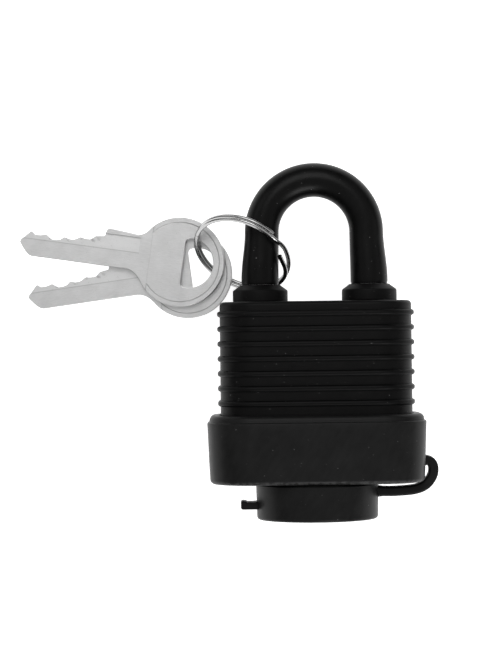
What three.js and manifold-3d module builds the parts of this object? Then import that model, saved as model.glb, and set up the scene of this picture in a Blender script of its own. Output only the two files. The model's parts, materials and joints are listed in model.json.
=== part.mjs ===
// A weatherproof laminated padlock with its keyway cap, split ring and two keys, in millimetres.
// The lock lies on its back. X runs to the right, Y toward the bow of the shackle and Z up.
// The origin is the middle of the bumper's flat back, where the lock rests.

import * as THREE from 'three';
import { mergeVertices } from 'three/addons/utils/BufferGeometryUtils.js';
import Module from 'manifold-3d';

const wasm = await Module();
wasm.setup();

// ---- driving dimensions ----
const DEPTH = 28;
const MID = DEPTH / 2;
const TOUCH = 0.05;
const LOOSE = 0.3;

const STACK = { foot: -5, top: 31.4, count: 12, width: 40, depth: 20, corner: 6.5 };
STACK.pitch = (STACK.top - STACK.foot) / STACK.count;
const RIVET = { x: 16, z: 6.3, radius: 1.5, head: 2.2, headHeight: 0.8 };

const JACKET = { width: 43, depth: 23.4, corner: 8, foot: 1, top: 33.2, wall: 1.3, roof: 1.75 };
const RIB = { count: 7, first: 10.5, pitch: 3.33, height: 0.6, width: 1.3, slope: 0.3 };
const BUMPER = { width: 48.6, corner: 10, foot: -7.5, rim: 6.3, top: 7.9, neck: 48.2, floor: 2.2 };
const BOSS = { outer: 12.2, inner: 10.2, foot: -9.8 };
const CAP = { top: -7.8, foot: -15.8, radius: 13.8, draft: 0.15, wall: 1.35, floor: 1.6 };
const TAB = { reach: 17.2, middle: -12.7, thick: 1.5, width: 6 };
const STRAP = { thick: 2.2, width: 4.5 };

const SHACKLE = { x: 12.3, crown: 11.8, archY: 48.8, easeY: 38, core: 3.4, bore: 3.75 };
const HEEL = { foot: 4, neckFoot: 6.2, neckTop: 9.4, neck: 2.1, relief: 2.1 };
const TOE = { foot: 20.2, notch: 1.7 };
const SLEEVE = { foot: 37.3, inner: 3.6, crown: 3.93, leg: 4.2 };
const SEAL = { flange: 6.2, skirt: 4.7, bore: 3.9, top: 37 };

const PLUG_Z = MID - 1.4;
const PLUG = { radius: 4.5, foot: -4, top: 17, slot: 2.3, slotTop: 3, slotEnd: 15.6 };
const SHELL = { radius: 6.2, foot: -1.9, top: 15.95, neck: 2.9, crest: MID + 8.2 };
const PIN = { radius: 1.15, hole: 1.35, count: 4, first: 0.4, pitch: 3.8, driver: 2.2 };
const CLIP = { foot: 16.2, thick: 0.6, inner: 4, outer: 5.6 };
const LEVER = { foot: 22.65, top: 24.95, noseLow: -2, noseHigh: 2, arm: 3.75, armTop: 5.2 };
const CAM = { half: 3.45, round: 1.7, shaft: 2.2 };

const KEY = { head: 10.2, thick: 1.8, low: -3.15, hole: 5.6, holeU: -2.1, chordU: -0.7 };
const KEY_TILT = THREE.MathUtils.degToRad(4.6);
const KEY_STEP = 1.98;
const FRONT_KEY = { x: -30.5, y: 42.7, turn: 171.5, level: 1 };
const BACK_KEY = { x: -28.8, y: 40.05, turn: 187.5, level: 0 };

const RING = { mid: 10.97, wide: 1, high: 0.75, lift: 0.475, sprungIn: 0.9, sprungUp: 0.8 };
RING.centre = new THREE.Vector3(-16.25, 44.39, 10.9);
RING.along = new THREE.Vector3(0.8996, -0.4368, 0);
RING.rise = new THREE.Vector3(0.272, 0.56, 0.783);

// ---- materials ----
function finish(color, roughness, metalness) {
  return new THREE.MeshStandardMaterial({ color, roughness, metalness });
}

const jacketPlastic = finish(0x1c1d1e, 0.45, 0);
const bumperPlastic = finish(0x25262a, 0.5, 0);
const softRubber = finish(0x161718, 0.6, 0);
const plateSteel = finish(0x8b8f94, 0.4, 1);
const hardSteel = finish(0xa4a7ab, 0.3, 1);
const brass = finish(0xb5934f, 0.35, 1);
const springSteel = finish(0x9a9da2, 0.3, 1);
const nickel = finish(0xc8c9cb, 0.35, 1);
const chrome = finish(0xd5d7da, 0.15, 1);

// ---- solids ----

// A closed solid of a three.js geometry, with its faces turned outward.
function toSolid(geometry) {
  const bare = geometry.clone();
  bare.deleteAttribute('normal');
  bare.deleteAttribute('uv');
  const merged = mergeVertices(bare, 1e-4);
  const points = merged.attributes.position;
  const index = merged.index.array;
  const corners = [];
  const [a, b, c] = [new THREE.Vector3(), new THREE.Vector3(), new THREE.Vector3()];
  let volume = 0;
  for (let i = 0; i < index.length; i += 3) {
    const [p, q, r] = [index[i], index[i + 1], index[i + 2]];
    if (p === q || q === r || r === p) continue;
    corners.push(p, q, r);
    a.fromBufferAttribute(points, p);
    b.fromBufferAttribute(points, q);
    c.fromBufferAttribute(points, r);
    volume += a.dot(b.cross(c));
  }
  if (volume < 0) corners.reverse();
  const triVerts = new Uint32Array(corners);
  return new wasm.Manifold(new wasm.Mesh({ numProp: 3, vertProperties: points.array, triVerts }));
}

function toGeometry(solid) {
  const mesh = solid.getMesh();
  const geometry = new THREE.BufferGeometry();
  geometry.setAttribute('position', new THREE.BufferAttribute(mesh.vertProperties, 3));
  geometry.setIndex(new THREE.BufferAttribute(mesh.triVerts, 1));
  geometry.computeVertexNormals();
  return geometry;
}

function cut(base, tools) {
  return toGeometry(tools.reduce((solid, tool) => solid.subtract(toSolid(tool)), toSolid(base)));
}

function join(parts) {
  const [first, ...rest] = parts.map(toSolid);
  return toGeometry(rest.reduce((solid, part) => solid.add(part), first));
}

// A prism of an outline drawn in X and Z, standing along Y between two heights.
function prism(shape, foot, top, bevel = 0, curveSegments = 3) {
  const settings = { depth: top - foot - 2 * bevel, curveSegments, bevelEnabled: bevel > 0 };
  const bevelSegments = bevel > 0.5 ? 2 : 1;
  Object.assign(settings, { bevelThickness: bevel, bevelSize: bevel, bevelOffset: -bevel, bevelSegments });
  const geometry = new THREE.ExtrudeGeometry(shape, settings);
  return geometry.translate(0, 0, bevel).rotateX(Math.PI / 2).translate(0, top, 0);
}

function block(x0, x1, y0, y1, z0, z1) {
  const box = new THREE.BoxGeometry(x1 - x0, y1 - y0, z1 - z0);
  return box.translate((x0 + x1) / 2, (y0 + y1) / 2, (z0 + z1) / 2);
}

function rod(x, z, radius, foot, top, sides = 12) {
  const cylinder = new THREE.CylinderGeometry(radius, radius, top - foot, sides);
  return cylinder.translate(x, (foot + top) / 2, z);
}

// A rod standing along Z, for the pins that slide toward the front of the lock.
function pinRod(y, radius, low, high, sides = 8) {
  const cylinder = new THREE.CylinderGeometry(radius, radius, high - low, sides).rotateX(Math.PI / 2);
  return cylinder.translate(0, y, (low + high) / 2);
}

function turned(profile, x, z, sides = 16) {
  const points = profile.map(([radius, y]) => new THREE.Vector2(radius, y));
  return new THREE.LatheGeometry(points, sides).translate(x, 0, z);
}

function swept(curve, shape, steps) {
  return new THREE.ExtrudeGeometry(shape, { steps, curveSegments: 3, bevelEnabled: false, extrudePath: curve });
}

function roundedOutline(width, depth, corner) {
  const x = width / 2 - corner;
  const z = depth / 2 - corner;
  const quarter = Math.PI / 2;
  const shape = new THREE.Shape();
  shape.absarc(x, MID + z, corner, 0, quarter);
  shape.absarc(-x, MID + z, corner, quarter, 2 * quarter);
  shape.absarc(-x, MID - z, corner, 2 * quarter, 3 * quarter);
  shape.absarc(x, MID - z, corner, 3 * quarter, 4 * quarter);
  shape.closePath();
  return shape;
}

function polygon(points) {
  return new THREE.Shape(points.map(([x, y]) => new THREE.Vector2(x, y)));
}

function circleShape(radius, sides) {
  const turn = (2 * Math.PI) / sides;
  const corner = (_, i) => [radius * Math.cos(turn * i), radius * Math.sin(turn * i)];
  return polygon(Array.from({ length: sides }, corner));
}

// A flat wire's section with its four corners taken off.
function wireSection(half, otherHalf, chamfer) {
  const [a, b, c] = [half, otherHalf, chamfer];
  const left = [[c - a, b], [-a, b - c], [-a, c - b], [c - a, -b]];
  const right = [[a - c, -b], [a, c - b], [a, b - c], [a - c, b]];
  return polygon([...left, ...right]);
}

// A coil spring round the Y axis, from y = 0 up to its length.
class CoilLine extends THREE.Curve {
  constructor(radius, length, turns) {
    super();
    Object.assign(this, { radius, length, turns });
  }

  getPoint(t, target = new THREE.Vector3()) {
    const angle = 2 * Math.PI * this.turns * t;
    return target.set(this.radius * Math.cos(angle), this.length * t, this.radius * Math.sin(angle));
  }
}

function coil(radius, wire, length, turns, sides = 4, stepsPerTurn = 8) {
  const line = new CoilLine(radius, length - 2 * wire, turns);
  return swept(line, circleShape(wire, sides), Math.round(turns * stepsPerTurn)).translate(0, wire, 0);
}

function add(parent, name, geometry, material) {
  const mesh = new THREE.Mesh(geometry, material);
  mesh.name = name;
  parent.add(mesh);
  return mesh;
}

// ---- the laminated body ----

const plateFoot = (k) => STACK.foot + k * STACK.pitch;

// The cylinder's hole: round at the plug, with a narrower neck for the pins toward the front.
function cylinderOutline(extra) {
  const round = rod(0, PLUG_Z, SHELL.radius + extra, -40, 40, 20);
  const neck = block(-SHELL.neck - extra, SHELL.neck + extra, -40, 40, PLUG_Z, SHELL.crest + 2.6 * extra);
  return join([round, neck]);
}

function plate(k) {
  const foot = plateFoot(k);
  const top = foot + STACK.pitch - TOUCH;
  const [below, above] = [foot - 1, top + 1];
  const outline = roundedOutline(STACK.width, STACK.depth, STACK.corner);
  const tools = [];
  for (const x of [-RIVET.x, RIVET.x]) {
    for (const z of [MID - RIVET.z, MID + RIVET.z]) {
      tools.push(rod(x, z, RIVET.radius + LOOSE, below, above, 8));
      if (k === 0) tools.push(rod(x, z, RIVET.head + LOOSE, below, foot + RIVET.headHeight + 0.1, 8));
      const headFoot = top - RIVET.headHeight - 0.1;
      if (k === STACK.count - 1) tools.push(rod(x, z, RIVET.head + LOOSE, headFoot, above, 8));
    }
  }
  if (k > 0) tools.push(rod(-SHACKLE.x, MID, SHACKLE.bore, below, above));
  if (foot > TOE.foot - STACK.pitch) tools.push(rod(SHACKLE.x, MID, SHACKLE.bore, below, above));
  if (k === 0) tools.push(rod(0, PLUG_Z, PLUG.radius + LOOSE, below, above, 16));
  if (k > 0 && top < CLIP.foot + 0.1) tools.push(cylinderOutline(LOOSE));
  const clipLevel = CLIP.foot + 0.1;
  if (foot < clipLevel && top > clipLevel) tools.push(rod(0, PLUG_Z, CLIP.outer + LOOSE, below, above, 16));
  if (foot > clipLevel && top < LEVER.foot) tools.push(rod(0, PLUG_Z, CAM.shaft + LOOSE, below, above));
  if (foot < LEVER.foot && top > LEVER.top) {
    tools.push(block(-9.6, 9.6, below, above, PLUG_Z - LEVER.armTop - 0.2, PLUG_Z + LEVER.armTop + 0.2));
  }
  return cut(prism(outline, foot, top, 0, 2), tools);
}

function rivet(x, z) {
  const foot = STACK.foot + TOUCH;
  const top = STACK.top - 2 * TOUCH;
  const shoulder = RIVET.headHeight;
  const profile = [[0, foot], [RIVET.head, foot], [RIVET.head, foot + shoulder], [RIVET.radius, foot + shoulder]];
  profile.push([RIVET.radius, top - shoulder], [RIVET.head, top - shoulder], [RIVET.head, top], [0, top]);
  return turned(profile, x, z, 8);
}

function jacket() {
  const { width, depth, corner, foot, top, wall, roof } = JACKET;
  const parts = [prism(roundedOutline(width, depth, corner), foot, top, 0.8)];
  for (let i = 0; i < RIB.count; i += 1) {
    const middle = RIB.first + i * RIB.pitch;
    const out = 2 * RIB.height;
    const outline = roundedOutline(width + out, depth + out, corner + RIB.height);
    parts.push(prism(outline, middle - RIB.width / 2, middle + RIB.width / 2, RIB.slope, 3));
  }
  const hollow = prism(roundedOutline(width - 2 * wall, depth - 2 * wall, corner - wall), foot - 5, top - roof);
  const holes = [-SHACKLE.x, SHACKLE.x].map((x) => rod(x, MID, SEAL.skirt + LOOSE, 30, 35, 16));
  return cut(join(parts), [hollow, ...holes]);
}

// The bumper widens a little from its foot to its rim, and steps in above the rim.
function bumper() {
  const { width, corner, foot, rim, top, neck, floor } = BUMPER;
  const lower = prism(roundedOutline(width, DEPTH, corner), foot, rim, 1);
  const points = lower.attributes.position;
  for (let i = 0; i < points.count; i += 1) {
    const rise = (points.getY(i) - foot) / (rim - foot);
    points.setX(i, points.getX(i) * (1 + (0.6 / width) * rise));
  }
  const upper = prism(roundedOutline(neck, DEPTH - 0.8, corner), foot + 2, top, 1.4);
  const boss = rod(0, MID, BOSS.outer, BOSS.foot, foot + 1, 28);
  const jacketRoom = roundedOutline(JACKET.width + 2 * LOOSE, JACKET.depth + 2 * LOOSE, JACKET.corner + LOOSE);
  const stackRoom = roundedOutline(STACK.width + 2 * LOOSE, STACK.depth + 2 * LOOSE, STACK.corner + LOOSE);
  const tools = [prism(jacketRoom, JACKET.foot - LOOSE, top + 1), prism(stackRoom, foot + floor, top + 1)];
  tools.push(rod(0, MID, BOSS.inner, -20, 0, 28));
  return cut(join([lower, upper, boss]), tools);
}

// A moulded bush: its skirt passes through the jacket and its flange stands on top.
function seal(side) {
  const foot = STACK.top + TOUCH;
  const step = JACKET.top + TOUCH;
  const profile = [[SEAL.bore, foot], [SEAL.skirt, foot], [SEAL.skirt, step], [SEAL.flange, step]];
  profile.push([SEAL.flange, 34.9], [5.9, 35.4], [4.6, SEAL.top], [SEAL.bore, SEAL.top], [SEAL.bore, foot]);
  return turned(profile, side * SHACKLE.x, MID, 20);
}

// ---- the shackle ----

// The shackle's middle line: straight legs that draw in slightly to a half-round bow.
class ShackleLine extends THREE.Curve {
  constructor(leftFoot, rightFoot) {
    super();
    const { archY, crown } = SHACKLE;
    this.left = archY - leftFoot;
    this.right = archY - rightFoot;
    this.bow = Math.PI * crown;
  }

  getPoint(t, target = new THREE.Vector3()) {
    const { x, crown, archY, easeY } = SHACKLE;
    const legX = (y) => x - (x - crown) * THREE.MathUtils.smoothstep(y, easeY, archY);
    const run = t * (this.left + this.bow + this.right);
    const pastBow = run - this.left - this.bow;
    if (run < this.left) return target.set(-legX(archY - this.left + run), archY - this.left + run, MID);
    if (pastBow > 0) return target.set(legX(archY - pastBow), archY - pastBow, MID);
    const angle = Math.PI - (run - this.left) / crown;
    return target.set(crown * Math.cos(angle), archY + crown * Math.sin(angle), MID);
  }
}

function shackleCore() {
  const { x, core } = SHACKLE;
  const bar = swept(new ShackleLine(HEEL.foot, TOE.foot), circleShape(core, 12), 44);
  const neckGap = [[HEEL.neck, HEEL.neckFoot], [6, HEEL.neckFoot], [6, HEEL.neckTop], [HEEL.neck, HEEL.neckTop]];
  neckGap.push([HEEL.neck, HEEL.neckFoot]);
  const neck = turned(neckGap, -x, MID, 12);
  const relief = block(HEEL.relief - x, 0, HEEL.neckFoot, LEVER.top + 0.5, MID - 5, MID + 5);
  const notch = block(0, x - TOE.notch, LEVER.foot - 0.3, LEVER.top + 0.4, MID - 5, MID + 5);
  return cut(bar, [neck, relief, notch]);
}

// A tight plastic sleeve over the bow. It is thinner where it is stretched round the crown.
function shackleSleeve() {
  const ring = circleShape(SLEEVE.crown, 14);
  ring.holes.push(circleShape(SLEEVE.inner, 14));
  const tube = swept(new ShackleLine(SLEEVE.foot, SLEEVE.foot), ring, 26);
  const points = tube.attributes.position;
  const point = new THREE.Vector3();
  const middle = new THREE.Vector3();
  const { x, crown, archY, easeY } = SHACKLE;
  for (let i = 0; i < points.count; i += 1) {
    point.fromBufferAttribute(points, i);
    if (point.y > archY) continue;
    const ease = THREE.MathUtils.smoothstep(point.y, easeY, archY);
    middle.set(Math.sign(point.x) * (x - (x - crown) * ease), point.y, MID);
    const reach = point.distanceTo(middle);
    if (reach < (SLEEVE.inner + SLEEVE.crown) / 2) continue;
    const wanted = SLEEVE.leg + (SLEEVE.crown - SLEEVE.leg) * ease;
    point.sub(middle).multiplyScalar(wanted / SLEEVE.crown).add(middle);
    points.setXYZ(i, point.x, point.y, point.z);
  }
  return toGeometry(toSolid(tube));
}

// ---- the cylinder ----

const pinY = (i) => PIN.first + i * PIN.pitch;

function cylinderShell() {
  const slice = block(-20, 20, SHELL.foot, SHELL.top, -10, 40);
  const body = toGeometry(toSolid(cylinderOutline(0)).intersect(toSolid(slice)));
  const tools = [rod(0, PLUG_Z, PLUG.radius + 0.2, -10, 30, 20)];
  for (let i = 0; i < PIN.count; i += 1) tools.push(pinRod(pinY(i), PIN.hole, PLUG_Z, 40, 10));
  return cut(body, tools);
}

// The plug is drawn about its own axis, with its pins toward +Z, and turned into place by its group.
function plug() {
  const barrel = rod(0, 0, PLUG.radius, PLUG.foot, PLUG.top, 20);
  const groove = [[CLIP.inner - 0.1, CLIP.foot - TOUCH], [6, CLIP.foot - TOUCH]];
  groove.push([6, CLIP.foot + CLIP.thick + TOUCH], [CLIP.inner - 0.1, CLIP.foot + CLIP.thick + TOUCH], groove[0]);
  const keyway = block(-PLUG.slot / 2, PLUG.slot / 2, PLUG.foot - 1, PLUG.slotEnd, -6, PLUG.slotTop);
  const tools = [turned(groove, 0, 0, 20), keyway];
  for (let i = 0; i < PIN.count; i += 1) tools.push(pinRod(pinY(i), PIN.hole, 1.4, 6, 10));
  return cut(barrel, tools);
}

function clip() {
  const start = Math.PI * 0.15;
  const shape = new THREE.Shape();
  shape.absarc(0, 0, CLIP.outer, start, 2 * Math.PI - start, false);
  shape.absarc(0, 0, CLIP.inner, 2 * Math.PI - start, start, true);
  shape.closePath();
  return prism(shape, CLIP.foot, CLIP.foot + CLIP.thick, 0, 7);
}

// The cam's lobe pushes the hooks of the two levers apart when it lies along X.
function cam() {
  const { half, round, shaft } = CAM;
  const offset = half - round;
  const shape = new THREE.Shape();
  shape.absarc(0, offset, round, 0, Math.PI);
  shape.absarc(0, -offset, round, Math.PI, 2 * Math.PI);
  shape.closePath();
  const lobe = prism(shape, LEVER.foot - TOUCH, LEVER.top, 0, 4);
  return join([lobe, rod(0, 0, shaft, PLUG.top + TOUCH, LEVER.foot, 12)]);
}

// A lever's outline about the plug's axis, for the left leg. Its hook reaches past the cam.
function heelLever() {
  const nose = PLUG_Z - MID;
  const { arm, armTop, noseLow, noseHigh } = LEVER;
  const outline = [[-9.2, noseLow - nose], [-8, noseLow - nose], [-8, -2.6], [-7, -2.6], [-7, arm], [3.9, arm]];
  outline.push([3.9, -1.5], [4.9, -1.5], [4.9, armTop], [-8, armTop], [-8, noseHigh - nose], [-9.2, noseHigh - nose]);
  return prism(polygon(outline), LEVER.foot, LEVER.top).translate(0, 0, PLUG_Z);
}

function toeLever() {
  const nose = PLUG_Z - MID;
  const { arm, armTop, noseLow, noseHigh } = LEVER;
  const outline = [[8.4, noseLow - nose], [8.4, noseHigh - nose], [7.7, noseHigh - nose], [7.7, 4.4], [6.9, 4.4]];
  outline.push([6.9, -arm], [-3.9, -arm], [-3.9, 1.5], [-4.9, 1.5], [-4.9, -armTop], [7.7, -armTop]);
  outline.push([7.7, noseLow - nose]);
  return prism(polygon(outline), LEVER.foot, LEVER.top).translate(0, 0, PLUG_Z);
}

// ---- the keyway cap ----

function cap() {
  const { top, foot, radius, draft, wall, floor } = CAP;
  const profile = [[0, foot], [radius - 1, foot], [radius - draft - 0.25, foot + 0.35], [radius - draft, foot + 1]];
  profile.push([radius, top], [radius - wall, top], [radius - wall, foot + floor], [0, foot + floor]);
  const cup = turned(profile, 0, MID, 28);
  const { reach, middle, thick, width } = TAB;
  const half = width / 2;
  const tongue = block(-reach, 1 - radius, middle - thick / 2, middle + thick / 2, MID - half, MID + half);
  const lip = block(-reach - 0.1, 0.9 - reach, middle - thick / 2, middle + thick / 2 + 0.45, MID - half, MID + half);
  const root = block(-radius - 0.9, 1 - radius, middle - thick / 2, middle + thick / 2 + 0.3, MID - half, MID + half);
  return join([cup, tongue, lip, root]);
}

function strap() {
  const route = [[24.85, -2.9], [25.4, -3.05], [26.08, -3.8], [26.28, -4.9], [26.05, -6.2], [25.4, -7.4]];
  route.push([24.5, -8.35], [23.2, -9.1], [21.2, -9.55], [17.6, -9.8], [13.95, -9.75]);
  const line = new THREE.CatmullRomCurve3(route.map(([x, y]) => new THREE.Vector3(x, y, MID)));
  return swept(line, wireSection(STRAP.width / 2, STRAP.thick / 2, 0.5), 22);
}

// ---- the split ring and the keys ----

// Two turns of flat wire lying side by side. Near the right side the wire crosses from one to the other.
class SplitRingLine extends THREE.Curve {
  getPoint(t, target = new THREE.Vector3()) {
    const jog = THREE.MathUtils.degToRad(52);
    const end = THREE.MathUtils.degToRad(14);
    const slope = THREE.MathUtils.degToRad(12);
    const turn = jog + end + t * (4 * Math.PI - 2 * end);
    const crossing = jog + 2 * Math.PI;
    const side = THREE.MathUtils.smoothstep(turn, crossing - slope, crossing + slope);
    const last = jog - end + 4 * Math.PI;
    const sprung = THREE.MathUtils.smoothstep(turn, last - 3.2 * end, last);
    const radius = RING.mid - RING.sprungIn * sprung;
    const lift = RING.lift * (2 * side - 1) + RING.sprungUp * sprung;
    return target.set(radius * Math.cos(turn), radius * Math.sin(turn), lift);
  }
}

function splitRing() {
  return swept(new SplitRingLine(), wireSection(RING.high / 2, RING.wide / 2, 0.12), 68);
}

// The key is drawn along X toward its tip with its cuts toward +Y, and is symmetrical in thickness.
function keyBlank() {
  const { head, low, thick, hole, holeU, chordU } = KEY;
  const under = Math.atan2(-6.07, 8.2);
  const shape = new THREE.Shape();
  shape.moveTo(head * Math.cos(under), head * Math.sin(under));
  shape.quadraticCurveTo(10, low, 12.4, low);
  const edge = [[34.4, low], [35.8, -2.2], [37.3, -0.4], [37.1, 0.4], [35.05, 2.56], [34.3, 1.93], [32.45, 1.97]];
  edge.push([31.5, 2.22], [30.3, 1.33], [28.95, 1.29], [28.1, 1.5], [27.2, 2.15], [26.05, 1.84], [25, 1.87]);
  edge.push([23.45, 2.63], [22.3, 2.43], [21.1, 2.53], [20.05, 3.34], [18.1, 3.6], [17.6, 5.07], [17.05, 5.56]);
  edge.push([10.2, 4.94]);
  edge.forEach(([u, v]) => shape.lineTo(u, v));
  shape.quadraticCurveTo(9, 5, 8.06, 6.25);
  shape.absarc(0, 0, head, Math.atan2(6.25, 8.06), 2 * Math.PI + under);
  const open = new THREE.Path();
  const corner = THREE.MathUtils.degToRad(83);
  open.moveTo(chordU, -4.4);
  open.lineTo(chordU, 4.4);
  open.quadraticCurveTo(chordU, 5.3, holeU + hole * Math.cos(corner), hole * Math.sin(corner));
  open.absarc(holeU, 0, hole, corner, 2 * Math.PI - corner);
  open.quadraticCurveTo(chordU, -5.3, chordU, -4.4);
  shape.holes.push(open);
  const blank = new THREE.ExtrudeGeometry(shape, { depth: thick, curveSegments: 10, bevelEnabled: false });
  return blank.translate(0, 0, -thick / 2);
}

// A wide groove is milled along the upper face and a narrow one along the lower face.
function key() {
  const upper = block(9.7, 40, 0.8, 4.3, -2, 0.5 - KEY.thick / 2);
  const lower = block(9.7, 40, -2.3, -0.7, KEY.thick / 2 - 0.45, 2);
  return cut(keyBlank(), [upper, lower]);
}

// Both keys lie in planes that rise toward the ring. The front key lies on the back key.
function placeKey(mesh, spot) {
  const normal = new THREE.Vector3(-Math.sin(KEY_TILT), 0, Math.cos(KEY_TILT));
  const turn = THREE.MathUtils.degToRad(spot.turn);
  const flat = new THREE.Vector3(Math.cos(turn), Math.sin(turn), 0);
  const along = flat.clone().setZ(flat.x * Math.tan(KEY_TILT)).normalize();
  const across = along.clone().cross(normal);
  const tipEdge = -65.4;
  const rise = 0.12 + (spot.x - tipEdge) * Math.tan(KEY_TILT);
  const height = (KEY.thick / 2 + spot.level * KEY_STEP) / Math.cos(KEY_TILT);
  mesh.quaternion.setFromRotationMatrix(new THREE.Matrix4().makeBasis(along, across, normal.negate()));
  mesh.position.set(spot.x, spot.y, rise + height);
}

// ---- the assembly ----

function buildBody() {
  const body = new THREE.Group();
  const innerNames = Array.from({ length: 9 }, (_, i) => `inner_plate_${i + 1}`);
  const plateNames = ['bottom_plate', ...innerNames, 'top_plate'];
  plateNames.splice(9, 0, 'lever_plate');
  plateNames.forEach((name, k) => add(body, name, plate(k), plateSteel));
  add(body, 'rivet_back_left', rivet(-RIVET.x, MID - RIVET.z), plateSteel);
  add(body, 'rivet_back_right', rivet(RIVET.x, MID - RIVET.z), plateSteel);
  add(body, 'rivet_front_left', rivet(-RIVET.x, MID + RIVET.z), plateSteel);
  add(body, 'rivet_front_right', rivet(RIVET.x, MID + RIVET.z), plateSteel);
  add(body, 'jacket', jacket(), jacketPlastic);
  add(body, 'bumper', bumper(), bumperPlastic);
  add(body, 'seal_left', seal(-1), softRubber);
  add(body, 'seal_right', seal(1), softRubber);
  add(body, 'shackle_spring', coil(2.4, 0.4, 5.6, 4, 5, 10), springSteel).position.set(-SHACKLE.x, -1.7, MID);
  return body;
}

function buildCylinder() {
  const cylinder = new THREE.Group();
  add(cylinder, 'cylinder_shell', cylinderShell(), brass);
  add(cylinder, 'chamber_cover', block(-2.2, 2.2, -1.2, 15, SHELL.crest + TOUCH, SHELL.crest + 0.5), brass);
  const driverLow = PLUG_Z + PLUG.radius + 0.3;
  for (let i = 0; i < PIN.count; i += 1) {
    const driver = pinRod(pinY(i), PIN.radius, driverLow, driverLow + PIN.driver);
    add(cylinder, `driver_pin_${i + 1}`, driver, brass);
    const spring = coil(0.8, 0.18, SHELL.crest - driverLow - PIN.driver - 2 * TOUCH, 3.5);
    spring.rotateX(Math.PI / 2).translate(0, pinY(i), driverLow + PIN.driver + TOUCH);
    add(cylinder, `pin_spring_${i + 1}`, spring, springSteel);
  }
  add(cylinder, 'heel_lever', heelLever(), hardSteel);
  add(cylinder, 'toe_lever', toeLever(), hardSteel);
  const leverSpring = coil(1, 0.18, 2, 3).rotateZ(-Math.PI / 2);
  leverSpring.translate(-6.95, (LEVER.foot + LEVER.top) / 2, PLUG_Z);
  add(cylinder, 'lever_spring', leverSpring, springSteel);
  return cylinder;
}

// The plug stands a quarter turn from where the key goes in, with the levers drawn back.
function buildPlug() {
  const turning = new THREE.Group();
  turning.position.set(0, 0, PLUG_Z);
  turning.rotation.y = Math.PI / 2;
  add(turning, 'plug', plug(), brass);
  add(turning, 'retaining_clip', clip(), springSteel);
  add(turning, 'cam', cam(), hardSteel);
  const bitting = [2.1, 2.4, 1.8, 2.2];
  bitting.forEach((low, i) => {
    add(turning, `key_pin_${i + 1}`, pinRod(pinY(i), PIN.radius, low, PLUG.radius - 0.1), brass);
  });
  return turning;
}

function buildShackle() {
  const shackle = new THREE.Group();
  add(shackle, 'shackle', shackleCore(), hardSteel);
  add(shackle, 'shackle_sleeve', shackleSleeve(), softRubber);
  return shackle;
}

function buildKeyring() {
  const keyring = new THREE.Group();
  const ring = add(keyring, 'split_ring', splitRing(), chrome);
  const axis = RING.along.clone().cross(RING.rise);
  ring.quaternion.setFromRotationMatrix(new THREE.Matrix4().makeBasis(RING.along, RING.rise, axis));
  ring.position.copy(RING.centre);
  placeKey(add(keyring, 'front_key', key(), nickel), FRONT_KEY);
  placeKey(add(keyring, 'back_key', key(), nickel), BACK_KEY);
  return keyring;
}

const padlock = new THREE.Group();
padlock.add(buildBody(), buildCylinder(), buildPlug(), buildShackle(), buildKeyring());
add(padlock, 'cap', cap(), bumperPlastic);
add(padlock, 'cap_strap', strap(), bumperPlastic);

export default padlock;
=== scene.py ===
import json
import math

import bmesh
import bpy
from mathutils import Matrix, Vector


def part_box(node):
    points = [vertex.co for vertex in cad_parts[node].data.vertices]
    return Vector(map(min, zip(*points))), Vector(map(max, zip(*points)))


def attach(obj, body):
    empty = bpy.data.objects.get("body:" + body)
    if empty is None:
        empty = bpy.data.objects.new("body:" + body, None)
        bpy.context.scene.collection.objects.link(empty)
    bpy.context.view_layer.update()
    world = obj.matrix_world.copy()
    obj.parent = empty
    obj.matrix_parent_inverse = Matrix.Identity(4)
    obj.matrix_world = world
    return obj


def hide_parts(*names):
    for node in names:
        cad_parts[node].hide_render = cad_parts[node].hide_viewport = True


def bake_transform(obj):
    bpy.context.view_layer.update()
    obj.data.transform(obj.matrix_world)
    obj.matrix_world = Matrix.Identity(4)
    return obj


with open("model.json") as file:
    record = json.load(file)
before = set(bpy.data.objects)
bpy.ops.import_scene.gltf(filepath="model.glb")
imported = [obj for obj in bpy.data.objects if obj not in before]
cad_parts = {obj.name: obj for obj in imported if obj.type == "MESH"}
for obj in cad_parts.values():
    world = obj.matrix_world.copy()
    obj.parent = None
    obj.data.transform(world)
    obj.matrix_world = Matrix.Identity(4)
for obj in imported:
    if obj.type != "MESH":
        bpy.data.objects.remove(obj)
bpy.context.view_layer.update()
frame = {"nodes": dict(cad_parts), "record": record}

# --- Camera, light and table -------------------------------------------------------------------
# The lock lies on its back on a plain white table, seen from straight above through a long lens.
# Pale walls all round light it softly, with four large square panels standing round the table.
MM = 0.001
CAMERA_OVER = Vector((-14.5, 25.9, 564.0)) * MM
CAMERA_ROLL = math.radians(-0.75)
VIEW_HEIGHT = 151.0 * MM

camera_data = bpy.data.cameras.new("camera")
camera = bpy.data.objects.new("camera", camera_data)
bpy.context.scene.collection.objects.link(camera)
bpy.context.scene.camera = camera
camera.location = CAMERA_OVER
camera.rotation_euler = (0, 0, CAMERA_ROLL)
camera_data.sensor_width = 36
camera_data.lens = 36 * (CAMERA_OVER.z - 14 * MM) / VIEW_HEIGHT
camera_data.clip_start = 0.01

bpy.context.scene.view_settings.view_transform = "Standard"
bpy.context.scene.view_settings.look = "None"


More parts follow.
